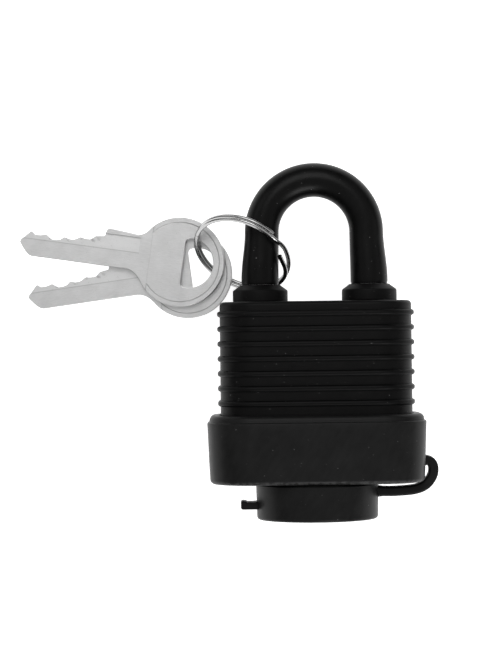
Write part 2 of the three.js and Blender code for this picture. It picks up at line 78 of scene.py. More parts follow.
class Wire:
    """A socket of a shader tree that takes part in ordinary arithmetic."""

    def __init__(self, finish, socket):
        self.finish = finish
        self.socket = socket

    def maths(self, operation, first, second=0.0):
        return self.finish.node("ShaderNodeMath", {"operation": operation}, {0: first, 1: second})

    def __add__(self, other):
        return self.maths("ADD", self, other)

    def __radd__(self, other):
        return self.maths("ADD", other, self)

    def __sub__(self, other):
        return self.maths("SUBTRACT", self, other)

    def __rsub__(self, other):
        return self.maths("SUBTRACT", other, self)

    def __mul__(self, other):
        return self.maths("MULTIPLY", self, other)

    def __rmul__(self, other):
        return self.maths("MULTIPLY", other, self)

    def step(self, low, high):
        """0 below low, 1 above high, and a smooth ramp between them."""
        settings = {"interpolation_type": "SMOOTHSTEP"}
        values = {"Value": self, "From Min": low, "From Max": high}
        return self.finish.node("ShaderNodeMapRange", settings, values)


class Finish:
    """One material: its tree, its surface shader, and a short way to add a node."""

    def __init__(self, name, **constants):
        self.material = bpy.data.materials.new(name)
        self.material.use_nodes = True
        self.tree = self.material.node_tree
        self.shader = self.tree.nodes["Principled BSDF"]
        for socket, value in constants.items():
            self.shader.inputs[socket.replace("_", " ")].default_value = value

    def put(self, socket, value):
        if isinstance(value, Wire):
            self.tree.links.new(value.socket, socket)
        else:
            socket.default_value = value

    def node(self, kind, settings=None, values=None, out=0):
        made = self.tree.nodes.new(kind)
        for name, value in (settings or {}).items():
            setattr(made, name, value)
        for name, value in (values or {}).items():
            self.put(made.inputs[name], value)
        return Wire(self, made.outputs[out])

    def place(self, scale=(1, 1, 1), location=(0, 0, 0), rotation=(0, 0, 0)):
        """The object's own coordinates, moved, turned and stretched."""
        here = self.node("ShaderNodeTexCoord", out=3)
        values = {"Vector": here, "Location": location, "Rotation": rotation, "Scale": scale}
        return self.node("ShaderNodeMapping", {"vector_type": "TEXTURE"}, values)

    def noise(self, size, detail=2.0, stretch=(1, 1, 1), rotation=(0, 0, 0)):
        """Cloudy noise whose features are about size metres across, stretched along an axis."""
        where = self.place(scale=[size * s for s in stretch], rotation=rotation)
        values = {"Vector": where, "Scale": 1.0, "Detail": detail}
        return self.node("ShaderNodeTexNoise", None, values)

    def tint(self, mask, low, high):
        """A colour between two, chosen by a mask."""
        made = self.tree.nodes.new("ShaderNodeMix")
        made.data_type = "RGBA"
        self.put(made.inputs[0], mask)
        self.put(made.inputs[6], low)
        self.put(made.inputs[7], high)
        return Wire(self, made.outputs[2])

    def colour(self, value):
        self.put(self.shader.inputs["Base Color"], value)

    def rough(self, value):
        self.put(self.shader.inputs["Roughness"], value)

    def relief(self, height, depth):
        """Small relief, with the height running from 0 to 1 over the given depth in metres."""
        values = {"Strength": 1.0, "Distance": depth, "Height": height}
        self.put(self.shader.inputs["Normal"], self.node("ShaderNodeBump", None, values))


def grey(value, warm=0.0):
    """A grey colour, pushed toward yellow by a little warmth."""
    return (value * (1 + warm), value, value * (1 - warm), 1.0)


table_finish = Finish("white_table", Roughness=0.9)
table_finish.colour(table_finish.tint(table_finish.noise(0.02), grey(0.86), grey(0.9)))
table_finish.shader.inputs["Emission Color"].default_value = grey(1.0)
table_finish.shader.inputs["Emission Strength"].default_value = 0.8

TABLE_HALF = 1.6
TABLE_TOP = -0.05 * MM
table_mesh = bpy.data.meshes.new("table")
table_corners = ((-1, -1), (1, -1), (1, 1), (-1, 1))
table_points = [(x * TABLE_HALF, y * TABLE_HALF, TABLE_TOP) for x, y in table_corners]
table_mesh.from_pydata(table_points, [], [(0, 1, 2, 3)])
table_mesh.materials.append(table_finish.material)
table = bpy.data.objects.new("table", table_mesh)
bpy.context.scene.collection.objects.link(table)


def soft_light(name, place, size, power):
    """A large square panel aimed at the middle of the lock."""
    data = bpy.data.lights.new(name, "AREA")
    data.shape = "SQUARE"
    data.size = size
    data.energy = power
    lamp = bpy.data.objects.new(name, data)
    lamp.location = place
    lamp.rotation_euler = (Vector((0, 0.02, 0)) - Vector(place)).to_track_quat("-Z", "Y").to_euler()
    bpy.context.scene.collection.objects.link(lamp)


soft_light("foot_panel", (0.3, -0.85, 0.5), 0.6, 8.0)
soft_light("left_panel", (-0.9, 0.5, 0.6), 0.6, 1.2)
soft_light("right_panel", (1.0, 0.1, 0.5), 0.6, 0.8)
soft_light("head_panel", (-0.05, 0.5, 0.75), 0.5, 2.8)

# The walls are dark low down and white higher up, so the black sides get no stray shine.
world = bpy.data.worlds.new("studio")
world.use_nodes = True
walls = world.node_tree
wall_light = walls.nodes["Background"]
wall_light.inputs["Strength"].default_value = 0.72
wall_place = walls.nodes.new("ShaderNodeTexCoord")
wall_height = walls.nodes.new("ShaderNodeSeparateXYZ")
wall_shade = walls.nodes.new("ShaderNodeMapRange")
wall_shade.inputs["From Min"].default_value = 0.2
wall_shade.inputs["From Max"].default_value = 0.75
wall_shade.inputs["To Min"].default_value = 0.04
walls.links.new(wall_place.outputs["Generated"], wall_height.inputs[0])
walls.links.new(wall_height.outputs["Z"], wall_shade.inputs["Value"])
walls.links.new(wall_shade.outputs[0], wall_light.inputs["Color"])
bpy.context.scene.world = world

# --- Laminated plates and rivets ---------------------------------------------------------------
# The body is a stack of twelve plates stamped from steel strip and drawn tight by four rivets.
# The plates keep a blue-grey mill skin with fine rolling lines, and the rivets are drawn wire.


def metal(name, base, rough, lines, warm=0.0):
    """Bare or plated metal with cloudy tone, lines left by working it, and a few dull spots."""
    finish = Finish(name, Metallic=1.0)
    clouds = finish.noise(4 * MM, 3.0)
    worked = finish.noise(0.12 * MM, 2.0, stretch=lines)
    spots = finish.noise(0.9 * MM, 1.0).step(0.66, 0.74)
    tone = clouds * 0.55 + worked * 0.45
    finish.colour(finish.tint(tone, grey(base * 0.82, warm), grey(base * 1.08, warm)))
    finish.rough(rough + clouds * 0.12 + worked * 0.1 + spots * 0.12 - 0.11)
    finish.relief(worked * 0.8 + spots * 0.2, 0.003 * MM)
    return finish


def dress(node, finish):
    """Gives a part that is kept as it was designed its finished surface."""
    part = frame["nodes"][node]
    for material_slot in part.material_slots:
        material_slot.material = finish.material


plate_steel = metal("stamped_steel", 0.36, 0.38, (18, 1, 1))
plates = [part["node"] for part in frame["record"]["subparts"] if part["material_slot"] == "plate_steel"]
for plate in plates:
    dress(plate, plate_steel)

# --- Cylinder, pins, levers and springs --------------------------------------------------------
# A brass shell and plug with brass pins is pushed into the plates from below, held by a clip.
# Its cam draws two hardened levers back from the shackle; the springs are bright music wire.
turned_brass = metal("turned_brass", 0.5, 0.3, (1, 1, 9), 0.3)
hard_steel = metal("hardened_steel", 0.5, 0.26, (1, 14, 1))
spring_wire = metal("spring_wire", 0.46, 0.24, (1, 8, 1))
inner_finishes = {"brass": turned_brass, "hard_steel": hard_steel, "spring_steel": spring_wire}
for part in frame["record"]["subparts"]:
    if part["material_slot"] in inner_finishes:
        dress(part["node"], inner_finishes[part["material_slot"]])

# --- Jacket ------------------------------------------------------------------------------------
# A one-piece black plastic cover is moulded to slip over the plates from the top. Seven ribs run
# round it. Its skin is satin with a fine spark-eroded grain, a little dust and light rubbing.


def black_plastic(name, base, rough, shine, grain=0.2, dust=0.5, foot=-1.0):
    """Satin black moulding: grain, cloudy sheen, scuffs and dust. A band at the height foot is
    painted lighter grey: partly rubbed wear, partly a painted highlight along the rounded foot edge."""
    finish = Finish(name)
    finish.shader.inputs["Specular IOR Level"].default_value = shine
    clouds = finish.noise(5 * MM, 3.0)
    texture = finish.noise(grain * MM, 2.0)
    scuffs = finish.noise(0.25 * MM, 2.0, stretch=(1, 26, 1), rotation=(0, 0, 0.5)).step(0.63, 0.75)
    specks = finish.noise(0.34 * MM, 0.5).step(0.815 - 0.02 * dust, 0.85 - 0.02 * dust)
    worn = finish.tint(scuffs * 0.45, grey(base), grey(base * 2.4))
    smears = finish.noise(1.1 * MM, 4.0, stretch=(1, 3, 1), rotation=(0, 0, -0.6))
    shade = finish.tint(clouds * 0.5 + smears * 0.5, grey(0.35 * base), grey(1.65 * base))
    height = finish.node("ShaderNodeSeparateXYZ", None, {"Vector": finish.place()}, out=1)
    # Painted highlight and wear: a noisy lighter band just above the foot, over its rounded edge.
    band = height.step(foot + 0.04 * MM, foot + 0.15 * MM) - height.step(foot + 0.5 * MM, foot + 1 * MM)
    rubbed_wear_and_highlight = band * finish.noise(0.9 * MM, 3.0).step(0.4, 0.6)
    blended = finish.tint(scuffs * 0.4, shade, worn)
    finish.colour(finish.tint(specks * dust + rubbed_wear_and_highlight * 0.11, blended, grey(0.17)))
    finish.rough(rough + clouds * 0.14 + smears * 0.14 + texture * 0.08 - scuffs * 0.06 - 0.16)
    finish.relief(texture * 0.8 + specks * 0.2, 0.012 * MM)
    return finish


def rounded_ring(half_x, half_z, corner, y, mid_z, steps=14):
    """The points round a rectangle with rounded corners, lying level at the height y."""
    points = []
    for quarter in range(4):
        sign_x = 1 if quarter in (0, 3) else -1
        sign_z = 1 if quarter in (0, 1) else -1
        for i in range(steps + 1):
            angle = math.pi / 2 * (quarter + i / steps)
            x = sign_x * (half_x - corner) + corner * math.cos(angle)
            z = sign_z * (half_z - corner) + corner * math.sin(angle)
            points.append(Vector((x, y, mid_z + z)))
    return points


def piece_from_rings(name, rings, finish, loop=False, crease=38):
    """A closed skin over a row of point rings. A loop joins its last ring to its first."""
    count = len(rings[0])
    total = len(rings)
    faces = []
    for i in range(total if loop else total - 1):
        low = i * count
        high = ((i + 1) % total) * count
        for j in range(count):
            k = (j + 1) % count
            faces.append((low + j, low + k, high + k, high + j))
    if not loop:
        faces.append(tuple(range(count)))
        faces.append(tuple(range((total - 1) * count, total * count)))
    mesh = bpy.data.meshes.new(name)
    mesh.from_pydata([point for ring in rings for point in ring], [], faces)
    return finished_piece(name, mesh, finish, crease)


def finished_piece(name, mesh, finish, crease=38):
    """Closes a mesh's seams, turns its faces outward, shades it and puts it in the scene."""
    work = bmesh.new()
    work.from_mesh(mesh)
    bmesh.ops.remove_doubles(work, verts=work.verts, dist=1e-7)
    bmesh.ops.recalc_face_normals(work, faces=work.faces)
    work.to_mesh(mesh)
    work.free()
    mesh.shade_smooth()
    mesh.set_sharp_from_angle(angle=math.radians(crease))
    mesh.materials.clear()
    mesh.materials.append(finish.material)
    piece = bpy.data.objects.new(name, mesh)
    bpy.context.scene.collection.objects.link(piece)
    return piece


def bake_shape(piece):
    """Turns a piece and its modifiers into one plain mesh."""
    graph = bpy.context.evaluated_depsgraph_get()
    mesh = bpy.data.meshes.new_from_object(piece.evaluated_get(graph))
    piece.modifiers.clear()
    piece.data = mesh
    return piece


def combine(piece, others, operation="DIFFERENCE", crease=38):
    """Cuts other solids out of a piece, or joins them to it, and removes them."""
    for other in others:
        modifier = piece.modifiers.new("combine", "BOOLEAN")
        modifier.operation = operation
        modifier.solver = "EXACT"
        modifier.object = other
    bake_shape(piece)
    for other in others:
        bpy.data.objects.remove(other)
    piece.data.shade_smooth()
    piece.data.set_sharp_from_angle(angle=math.radians(crease))
    return piece


def mount(piece, body, slot_name, *nodes):
    """Fixes a finished piece to its body in place of the plain solids that it stands for."""
    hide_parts(*nodes)
    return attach(piece, body)


def edge(radius, inset_at_start, steps=5):
    """Pairs of (inset, rise) round a quarter-circle edge, from the inset end or toward it."""
    pairs = []
    for i in range(steps + 1):
        angle = math.pi / 2 * i / steps
        pairs.append((radius * (1 - math.sin(angle)), radius * (1 - math.cos(angle))))
    return pairs if inset_at_start else [(inset, radius - rise) for inset, rise in reversed(pairs)]


jacket_low, jacket_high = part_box("jacket")
MID_Z = (jacket_low.z + jacket_high.z) / 2
RIB_HEIGHT = 0.6 * MM
RIB_COUNT = 7
RIB_PITCH = 3.33 * MM
RIB_FIRST = 10.5 * MM
RIB_WIDTH = 1.3 * MM
JACKET_CORNER = 8.0 * MM
JACKET_WALL = 1.3 * MM
JACKET_ROOF = 1.75 * MM
JACKET_EDGE = 0.9 * MM
SEAL_HOLE = 5.0 * MM
jacket_half_x = (jacket_high.x - jacket_low.x) / 2 - RIB_HEIGHT
jacket_half_z = (jacket_high.z - jacket_low.z) / 2 - RIB_HEIGHT

jacket_black = black_plastic("jacket_plastic", 0.0026, 0.4, 0.06)


def jacket_ring(y, inset):
    """The jacket's outline between its ribs at one height, moved in from its skin."""
    half_x = jacket_half_x - inset
    half_z = jacket_half_z - inset
    return rounded_ring(half_x, half_z, JACKET_CORNER - inset, y, MID_Z)


jacket_rows = [jacket_ring(jacket_low.y, 0)]
for inset, rise in edge(JACKET_EDGE, False):
    jacket_rows.append(jacket_ring(jacket_high.y - JACKET_EDGE + rise, inset))
jacket = piece_from_rings("jacket_cover", jacket_rows, jacket_black)
room_ends = (jacket_low.y - 1 * MM, jacket_high.y - JACKET_ROOF)
room_rows = [jacket_ring(y, JACKET_WALL) for y in room_ends]
jacket_room = piece_from_rings("jacket_room", room_rows, jacket_black)


def rod(name, x, z, radius, low_y, high_y, sides=48):
    """A round bar along Y."""
    rings = []
    for y in (low_y, high_y):
        turn = [2 * math.pi * i / sides for i in range(sides)]
        rings.append([Vector((x + radius * math.cos(a), y, z + radius * math.sin(a))) for a in turn])
    return piece_from_rings(name, rings, jacket_black)


seal_boxes = [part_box("seal_left"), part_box("seal_right")]
leg_x = (seal_boxes[1][0].x + seal_boxes[1][1].x) / 2
seal_holes = [rod("seal_hole", x, MID_Z, SEAL_HOLE, 30 * MM, 35 * MM) for x in (-leg_x, leg_x)]
combine(jacket, [jacket_room, *seal_holes])
mount(jacket, "lock_body", "jacket_plastic", "jacket")

# One rib is a hoop with a rounded back and a small fillet at each foot. The nodes stand the
# others above it at an even pitch.
rib_back = [(-0.55, -0.12), (-0.5, 0.14), (-0.4, 0.4), (-0.25, 0.55), (-0.08, 0.6), (0.08, 0.6)]
rib_back += [(0.25, 0.55), (0.4, 0.4), (0.5, 0.14), (0.55, -0.12)]
rib_rows = []
for along, out in rib_back:
    rib_y = RIB_FIRST + along * RIB_WIDTH
    rib_rows.append(jacket_ring(rib_y, -out * MM))
rib_rows.append(jacket_ring(RIB_FIRST + 0.5 * RIB_WIDTH, 0.5 * MM))
rib_rows.append(jacket_ring(RIB_FIRST - 0.5 * RIB_WIDTH, 0.5 * MM))
ribs = piece_from_rings("jacket_ribs", rib_rows, jacket_black, loop=True)


def row_of_copies(name):
    """Geometry nodes that repeat what they are given in a straight row."""
    tree = bpy.data.node_groups.new(name, "GeometryNodeTree")
    sockets = {"Geometry": "Geometry", "Count": "Int", "Pitch": "Vector", "Material": "Material"}
    for label, kind in sockets.items():
        tree.interface.new_socket(label, in_out="INPUT", socket_type="NodeSocket" + kind)
    tree.interface.new_socket("Geometry", in_out="OUTPUT", socket_type="NodeSocketGeometry")
    given = tree.nodes.new("NodeGroupInput")
    line = tree.nodes.new("GeometryNodeMeshLine")
    copies = tree.nodes.new("GeometryNodeInstanceOnPoints")
    real = tree.nodes.new("GeometryNodeRealizeInstances")
    paint = tree.nodes.new("GeometryNodeSetMaterial")
    result = tree.nodes.new("NodeGroupOutput")
    tree.links.new(given.outputs["Count"], line.inputs["Count"])
    tree.links.new(given.outputs["Pitch"], line.inputs["Offset"])
    tree.links.new(line.outputs[0], copies.inputs["Points"])
    tree.links.new(given.outputs["Geometry"], copies.inputs["Instance"])
    tree.links.new(copies.outputs[0], real.inputs[0])
    tree.links.new(real.outputs[0], paint.inputs["Geometry"])
    tree.links.new(given.outputs["Material"], paint.inputs["Material"])
    tree.links.new(paint.outputs[0], result.inputs[0])
    return tree


def repeat(piece, tree, count, pitch, finish):
    """Stands copies of a piece in a straight row, and bakes them into one mesh."""
    modifier = piece.modifiers.new("row", "NODES")
    modifier.node_group = tree
    inputs = [item for item in tree.interface.items_tree if item.in_out == "INPUT"]
    identifiers = {item.name: item.identifier for item in inputs}
    modifier[identifiers["Count"]] = count
    modifier[identifiers["Pitch"]] = pitch
    modifier[identifiers["Material"]] = finish.material
    return bake_shape(piece)


copy_row = row_of_copies("row_of_copies")
repeat(ribs, copy_row, RIB_COUNT, (0, RIB_PITCH, 0), jacket_black)
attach(ribs, "lock_body")

# --- Bumper ------------------------------------------------------------------------------------
# A thicker black moulding is pressed over the foot of the jacket to take knocks. It widens up to
# a rim at its mould's parting line, steps in above it, and has a low boss round the keyway.
bumper_low, bumper_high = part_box("bumper")
BUMPER_CORNER = 10.0 * MM
BUMPER_FOOT = -7.5 * MM
BUMPER_RIM = 6.3 * MM
BUMPER_FLARE = 0.5 * MM
BUMPER_FOOT_EDGE = 1.1 * MM
BUMPER_TOP_EDGE = 1.2 * MM
RIM_EDGE = 0.3 * MM
RIM_STEP = 0.5 * MM
BOSS_RADIUS = 12.2 * MM
BOSS_BORE = 10.2 * MM
CLEARANCE = 0.3 * MM
bumper_half_x = (bumper_high.x - bumper_low.x) / 2
bumper_half_z = (bumper_high.z - bumper_low.z) / 2
# Its foot edge gets the lighter band: rubbed wear and a painted highlight.
bumper_black = black_plastic("bumper_plastic", 0.0072, 0.38, 0.08, 0.24, foot=BUMPER_FOOT)


def bumper_ring(y, inset, side_inset=0.0):
    """The bumper's outline at one height, moved in all round and further in at its two sides."""
    half_x = bumper_half_x - side_inset - inset
    return rounded_ring(half_x, bumper_half_z - inset, BUMPER_CORNER - inset, y, MID_Z)


bumper_rows = []
for inset, rise in edge(BUMPER_FOOT_EDGE, True):
    bumper_rows.append(bumper_ring(BUMPER_FOOT + rise, inset, BUMPER_FLARE))
for share in (0.3, 0.6, 0.85):
    bumper_y = BUMPER_FOOT + share * (BUMPER_RIM - BUMPER_FOOT)
    bumper_rows.append(bumper_ring(bumper_y, 0, BUMPER_FLARE * (1 - share)))
for inset, rise in edge(RIM_EDGE, False, 3):
    bumper_rows.append(bumper_ring(BUMPER_RIM - RIM_EDGE + rise, inset))
for above, inset in ((0.05, 0.42), (0.3, 0.48)):
    bumper_rows.append(bumper_ring(BUMPER_RIM + above * MM, inset * MM))
for inset, rise in edge(BUMPER_TOP_EDGE, False, 6):
    bumper_rows.append(bumper_ring(bumper_high.y - BUMPER_TOP_EDGE + rise, RIM_STEP + inset))
bumper = piece_from_rings("bumper_moulding", bumper_rows, bumper_black)

# Three spaces are cut out of it: for the jacket, for the plates below the jacket, and for the
# keyway through the boss.
space_top = 12 * MM
jacket_space_rows = [jacket_ring(y, -CLEARANCE) for y in (0.7 * MM, space_top)]
jacket_space = piece_from_rings("jacket_space", jacket_space_rows, bumper_black)
plate_low, plate_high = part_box("bottom_plate")
stack_half_x = (plate_high.x - plate_low.x) / 2 + CLEARANCE
stack_half_z = (plate_high.z - plate_low.z) / 2 + CLEARANCE
stack_rows = []
for y in (BUMPER_FOOT + 2.2 * MM, space_top):
    stack_rows.append(rounded_ring(stack_half_x, stack_half_z, 6.8 * MM, y, MID_Z))
stack_space = piece_from_rings("stack_space", stack_rows, bumper_black)
boss = rod("boss", 0, MID_Z, BOSS_RADIUS, bumper_low.y, BUMPER_FOOT + 1 * MM, 96)
boss_hole = rod("boss_hole", 0, MID_Z, BOSS_BORE, -20 * MM, 0, 96)
combine(bumper, [boss], "UNION")
combine(bumper, [jacket_space, stack_space, boss_hole])
mount(bumper, "lock_body", "bumper_plastic", "bumper")

# --- Shackle seals -----------------------------------------------------------------------------
# Two moulded bushes close the gaps round the legs. Each has a flange, and a cone above it that
# meets the end of the shackle's sleeve.


def turned_piece(name, profile, x, finish, sides=96, loop=True, crease=38):
    """A closed profile of (radius, y) spun round an axis along Y."""
    rings = []
    for radius, y in profile:
        turn = [2 * math.pi * i / sides for i in range(sides)]
        rings.append([Vector((x + radius * math.cos(a), y, MID_Z + radius * math.sin(a))) for a in turn])
    return piece_from_rings(name, rings, finish, loop, crease)


seal_black = black_plastic("seal_rubber", 0.0028, 0.46, 0.07, 0.16)
seal_foot = seal_boxes[0][0].y
seal_top = seal_boxes[0][1].y
flange_foot = jacket_high.y + 0.05 * MM
FLANGE = 6.2 * MM
SEAL_BORE = 3.9 * MM
SEAL_SPIGOT = 4.7 * MM
SEAL_CHAMFER = 0.15 * MM
seal_cone = [(0.03, 1.35), (0.12, 1.2), (0.27, 1.06), (1.3, 0.32), (1.5, 0.16), (1.6, 0.07), (1.75, 0)]
seal_profile = [(SEAL_BORE, seal_foot), (SEAL_SPIGOT, seal_foot), (SEAL_SPIGOT, flange_foot)]
seal_profile += [(FLANGE - SEAL_CHAMFER, flange_foot), (FLANGE, flange_foot + SEAL_CHAMFER)]
seal_profile.append((FLANGE, seal_top - 1.5 * MM))
for inset, drop in seal_cone:
    seal_profile.append((FLANGE - inset * MM, seal_top - drop * MM))
seal_profile += [(SEAL_BORE + SEAL_CHAMFER, seal_top), (SEAL_BORE, seal_top - SEAL_CHAMFER)]
for side, node in ((-1, "seal_left"), (1, "seal_right")):
    seal = turned_piece("shackle_" + node, seal_profile, side * leg_x, seal_black)
    mount(seal, "lock_body", "soft_rubber", node)

# --- Shackle -----------------------------------------------------------------------------------
# The shackle is bent from hardened steel rod. The long leg is relieved and necked for its lever,
# and the short leg is notched. It is ground bright and lightly oiled.
CROWN_RADIUS = 11.8 * MM
ARCH_Y = 48.8 * MM
EASE_Y = 38.0 * MM
CORE_RADIUS = 3.4 * MM


def ease(value, low, high):
    """0 up to low, 1 from high on, and a smooth rise between them."""
    share = min(1.0, max(0.0, (value - low) / (high - low)))
    return share * share * (3 - 2 * share)


def shackle_line(left_foot, right_foot, steps=150):
    """Evenly spaced points along the middle of the shackle, from the left leg to the right."""
    left = ARCH_Y - left_foot
    bow = math.pi * CROWN_RADIUS
    right = ARCH_Y - right_foot
    points = []
    for i in range(steps + 1):
        run = (left + bow + right) * i / steps
        if left < run < left + bow:
            angle = math.pi - (run - left) / CROWN_RADIUS
            x = CROWN_RADIUS * math.cos(angle)
            y = ARCH_Y + CROWN_RADIUS * math.sin(angle)
            points.append(Vector((x, y, MID_Z)))
            continue
        side = -1 if run <= left else 1
        y = left_foot + run if run <= left else ARCH_Y - (run - left - bow)
        x = leg_x - (leg_x - CROWN_RADIUS) * ease(y, EASE_Y, ARCH_Y)
        points.append(Vector((side * x, y, MID_Z)))
    return points


def sweep_rings(line, section, up=Vector((0, 0, 1))):
    """Rings of a section carried along a line. A section point is (across, toward up) and may
    depend on the place along the line."""
    rings = []
    for i, point in enumerate(line):
        ahead = line[min(i + 1, len(line) - 1)] - line[max(i - 1, 0)]
        forward = ahead.normalized()
        across = forward.cross(up).normalized()
        over = across.cross(forward)
        rings.append([point + across * a + over * b for a, b in section(i, point)])
    return rings


def circle(radius, sides):
    """A round section for a sweep."""
    angles = [2 * math.pi * i / sides for i in range(sides)]
    return [(radius * math.cos(a), radius * math.sin(a)) for a in angles]


def core_section(i, point):
    """The steel's round section, drawn in at its two ends as a chamfer."""
    chamfer = 0.5 * MM if i in (0, len(core_line) - 1) else 0
    return circle(CORE_RADIUS - chamfer, 48)


long_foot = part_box("shackle")[0].y
short_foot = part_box("toe_lever")[0].y - 2.45 * MM
core_line = shackle_line(long_foot, short_foot)
core = piece_from_rings("shackle_rod", sweep_rings(core_line, core_section), hard_steel)


def cutter(name, low, high):
    """A plain block used only to cut with, from its low and high corners in millimetres."""
    rings = []
    for y in (low[1], high[1]):
        corners = [(low[0], low[2]), (high[0], low[2]), (high[0], high[2]), (low[0], high[2])]
        rings.append([Vector((x, y, z)) * MM for x, z in corners])
    return piece_from_rings(name, rings, hard_steel)


# The long leg keeps 2.1 mm past its middle beside the relief, and as its radius at the neck.
NECK_RADIUS = 2.1
NECK_FOOT = 6.2
NECK_TOP = 9.4
leg_mm = leg_x / MM
relief = cutter("relief", (NECK_RADIUS - leg_mm, NECK_FOOT, 9), (0, 25.45, 19))
notch = cutter("notch", (0, 22.35, 9), (leg_mm - 1.7, 25.35, 19))
neck_corners = [(NECK_RADIUS, NECK_FOOT), (6, NECK_FOOT), (6, NECK_TOP), (NECK_RADIUS, NECK_TOP)]
neck_gap = [(radius * MM, y * MM) for radius, y in neck_corners]
neck = turned_piece("neck", neck_gap, -leg_x, hard_steel, 48)
combine(core, [relief, notch, neck])
mount(core, "shackle", "hard_steel", "shackle")

# --- Shackle sleeve ----------------------------------------------------------------------------
# A soft black tube is pushed over the shackle to keep out the weather. It is stretched thinner
# round the bow, and its two ends are cut square just above the seals.
SLEEVE_CROWN = 3.83 * MM
SLEEVE_LEG = 4.2 * MM
SLEEVE_INNER = 3.55 * MM
sleeve_black = black_plastic("sleeve_plastic", 0.0022, 0.3, 0.085, 0.3, 0.7)
sleeve_foot = seal_top + 0.06 * MM
sleeve_line = shackle_line(sleeve_foot, sleeve_foot, 124)
sleeve_last = len(sleeve_line) - 1


def sleeve_radius(i, point):
    """The tube's outer radius: thinner over the bow, and rounded off at its two cut ends."""
    share = ease(point.y, EASE_Y, ARCH_Y)
    radius = SLEEVE_LEG + (SLEEVE_CROWN - SLEEVE_LEG) * share
    return radius - (0.15 * MM if i in (0, sleeve_last) else 0.0)


outer_rings = sweep_rings(sleeve_line, lambda i, point: circle(sleeve_radius(i, point), 64))
inner_rings = sweep_rings(sleeve_line, lambda i, point: circle(SLEEVE_INNER, 64))
sleeve_rings = outer_rings + list(reversed(inner_rings))
sleeve = piece_from_rings("shackle_cover", sleeve_rings, sleeve_black, loop=True, crease=50)
mount(sleeve, "shackle", "soft_rubber", "shackle_sleeve")

# --- Keyway cap --------------------------------------------------------------------------------
# A round cap snaps over the boss to keep grit out of the keyway. A tab on its left lifts it off.
# It is moulded in the bumper's plastic, in one piece with its strap.
cap_low, cap_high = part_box("cap")
CAP_RADIUS = 13.8 * MM
CAP_WALL = 1.35 * MM
CAP_FLOOR = 1.6 * MM
CAP_DISH = 0.25 * MM
CAP_DRAFT = 0.15 * MM
AT_AXIS = 0.0004 * MM
cap_foot = cap_low.y
cap_top = cap_high.y
cap_inside = CAP_RADIUS - CAP_WALL
cap_black = black_plastic("cap_plastic", 0.007, 0.38, 0.075, 0.24)
cap_profile = [(AT_AXIS, cap_foot + CAP_DISH), (9.5 * MM, cap_foot + CAP_DISH), (10.0 * MM, cap_foot)]
for inset, rise in edge(0.7 * MM, True, 7):
    cap_profile.append((CAP_RADIUS - CAP_DRAFT - inset, cap_foot + rise))
cap_profile += [(CAP_RADIUS, cap_top - 0.25 * MM), (CAP_RADIUS - 0.25 * MM, cap_top)]
cap_profile += [(cap_inside, cap_top), (cap_inside, cap_foot + CAP_FLOOR + 0.3 * MM)]
cap_profile += [(cap_inside - 0.3 * MM, cap_foot + CAP_FLOOR), (AT_AXIS, cap_foot + CAP_FLOOR)]
cap = turned_piece("keyway_cap", cap_profile, 0, cap_black, 128, loop=False)

# The tab's outline is drawn from the side: a thicker root, a thin middle and a raised lip.
TAB_MIDDLE = -12.7
TAB_LIP = -16
tab_outline = [(-12.8, -0.75), (-16.9, -0.75), (-17.15, -0.6), (-17.28, -0.3)]
tab_outline += [(-17.28, 0.9), (-17.15, 1.12), (-16.8, 1.19), (-16.3, 1.17), (-16.0, 1.05)]
tab_outline += [(-15.8, 0.92), (-14.6, 0.92), (-13.9, 0.98), (-12.8, 1.2)]
tab_rings = []
for z, inset in ((-3.0, 0.25), (-2.85, 0.07), (-2.6, 0.0), (2.6, 0.0), (2.85, 0.07), (3.0, 0.25)):
    row = []
    for x, y in tab_outline:
        squeeze = 1 - inset * 0.5
        shorter = inset * 0.6 if x < TAB_LIP else 0
        row.append(Vector((x + shorter, TAB_MIDDLE + y * squeeze, MID_Z / MM + z)) * MM)
    tab_rings.append(row)
tab = piece_from_rings("tab", tab_rings, cap_black)
combine(cap, [tab], "UNION")
mount(cap, "cap", "bumper_plastic", "cap")

# --- Cap strap ---------------------------------------------------------------------------------
# A flat strap moulded with the bumper and the cap keeps the cap from getting lost. It leaves
# the bumper's right side and loops back to the cap's right side.
STRAP_THICK = 2.16 * MM
STRAP_WIDE = 4.5 * MM
STRAP_CORNER = 0.55 * MM
strap_route = [(24.0, -2.88), (24.8, -2.9), (25.45, -3.12), (26.02, -3.8), (26.24, -4.8), (26.1, -6.0)]
strap_route += [(25.5, -7.25), (24.5, -8.35), (23.2, -9.08), (21.2, -9.55)]
strap_route += [(17.6, -9.8), (14.9, -9.78), (13.2, -9.72)]


def smooth_line(points, steps):
    """A curve through points in the plane of the lock's middle, with even steps in each span."""
    result = []
    for i in range(len(points) - 1):
        p0 = Vector(points[max(i - 1, 0)])
        p1 = Vector(points[i])
        p2 = Vector(points[i + 1])
        p3 = Vector(points[min(i + 2, len(points) - 1)])
        for j in range(steps):
            t = j / steps
            bend = 2 * p1 + (p2 - p0) * t + (2 * p0 - 5 * p1 + 4 * p2 - p3) * t * t
            bend += (3 * p1 - p0 - 3 * p2 + p3) * t ** 3
            result.append(bend / 2)
    result.append(Vector(points[-1]))
    return [Vector((point.x * MM, point.y * MM, MID_Z)) for point in result]


def strap_section(i, point):
    """A flat bar with rounded edges, a little thicker where it joins the bumper and the cap."""
    end = min(i, len(strap_line) - 1 - i) / 10
    root = 0.35 * MM * max(0.0, 1 - end) ** 2
    ring = rounded_ring(STRAP_THICK / 2 + root, STRAP_WIDE / 2 + root, STRAP_CORNER, 0, 0, 5)
    return [(p.x, p.z) for p in ring]


strap_line = smooth_line(strap_route, 8)
strap = piece_from_rings("cap_tether", sweep_rings(strap_line, strap_section), cap_black)
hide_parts("cap_strap")
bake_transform(strap)

